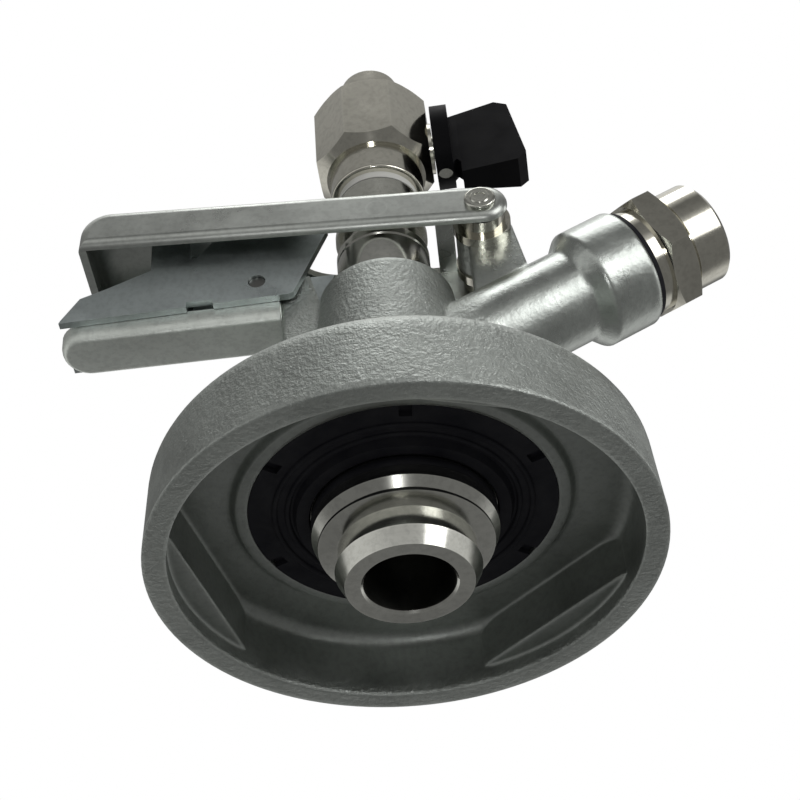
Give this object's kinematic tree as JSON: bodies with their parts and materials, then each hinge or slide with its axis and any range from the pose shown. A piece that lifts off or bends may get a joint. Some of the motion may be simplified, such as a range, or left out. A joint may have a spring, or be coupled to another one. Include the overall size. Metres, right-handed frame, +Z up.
{
  "type": "keg coupler",
  "caption": "Keg coupler with a wide lugged bell, a hollow sliding probe, a lever handle with a sprung latch, a side gas inlet and a ball valve on the beer outlet.",
  "frame": {"origin": "centre of the bell's mouth, in the plane of its rim, on the probe's axis", "axes": "+Z up along the probe's axis, from the keg towards the beer outlet; +X towards the gas inlet; the lever handle points along -X; +Y completes the right-handed frame"},
  "size_m": [0.1276, 0.088, 0.1315],
  "materials": {
    "cast_body": "satin, sand-blasted plating over a casting",
    "steel": "satin",
    "nickel": "semi-bright nickel",
    "sheet": "satin, slightly blue",
    "lever_steel": "satin",
    "black_rubber": "matte",
    "white_seal": "matte",
    "black_plastic": "semi-gloss",
    "bronze": "satin",
    "spring_steel": "satin"
  },
  "bodies": {
    "casting": {"body": "cast_body", "bottom_seal": "black_rubber", "neck_seal": "black_rubber", "guide_bush": "bronze", "pivot_bushes": "nickel", "pivot_washers": "nickel", "grip": "cast_body", "grip_screw": "steel", "latch_pin": "steel", "latch_stop_pin": "steel", "latch_spring": "spring_steel", "gas_gasket": "black_rubber", "gas_collar": "nickel", "gas_adapter": "nickel", "check_spring": "spring_steel"},
    "probe": {"probe": "steel", "probe_o_ring": "black_rubber", "lift_collar": "steel", "lift_nut": "steel", "ball_retainer": "spring_steel", "valve_gasket": "white_seal", "valve_body": "nickel", "valve_seats": "white_seal", "stem_packing": "white_seal", "gland_nut": "nickel", "outlet_end": "nickel"},
    "ball": {"check_ball": "black_rubber"},
    "lever": {"lever": "lever_steel", "lever_studs": "steel", "pivot_pin": "steel"},
    "latch": {"latch": "sheet"},
    "poppet": {"check_poppet": "white_seal"},
    "tap": {"valve_ball": "nickel", "valve_stem": "steel", "valve_handle": "black_plastic", "handle_screw": "steel"}
  },
  "joints": [
    {"name": "lever_swing", "type": "hinge", "parent": "casting", "child": "lever", "pos_m": [0.0197, 0, 0.0747], "axis": [0, 1, 0], "range_deg": [0, 30]},
    {"name": "probe_lift", "type": "slide", "parent": "casting", "child": "probe", "axis": [0, 0, 1], "range_m": [0, 0.00979]},
    {"name": "latch_press", "type": "hinge", "parent": "casting", "child": "latch", "pos_m": [-0.0238, 0, 0.0644], "axis": [0, -1, 0], "range_deg": [0, 5], "stiffness_Nm_per_rad": 0.4, "springref_deg": -5.73, "deforming": ["latch_spring"]},
    {"name": "valve_turn", "type": "hinge", "parent": "probe", "child": "tap", "pos_m": [0, 0, 0.1046], "axis": [0.9994, -0.0349, 0], "range_deg": [0, 90]},
    {"name": "ball_lift", "type": "slide", "parent": "probe", "child": "ball", "axis": [0, 0, 1], "range_m": [0, 0.005]},
    {"name": "gas_check", "type": "slide", "parent": "casting", "child": "poppet", "axis": [-0.8886, 0, -0.4587], "range_m": [0, 0.0018], "stiffness_N_per_m": 60, "springref_m": -0.002, "deforming": ["check_spring"]}
  ],
  "couplings": [
    {"joint": "probe_lift", "follows": "lever_swing", "m_per_rad": 0.018513}
  ]
}
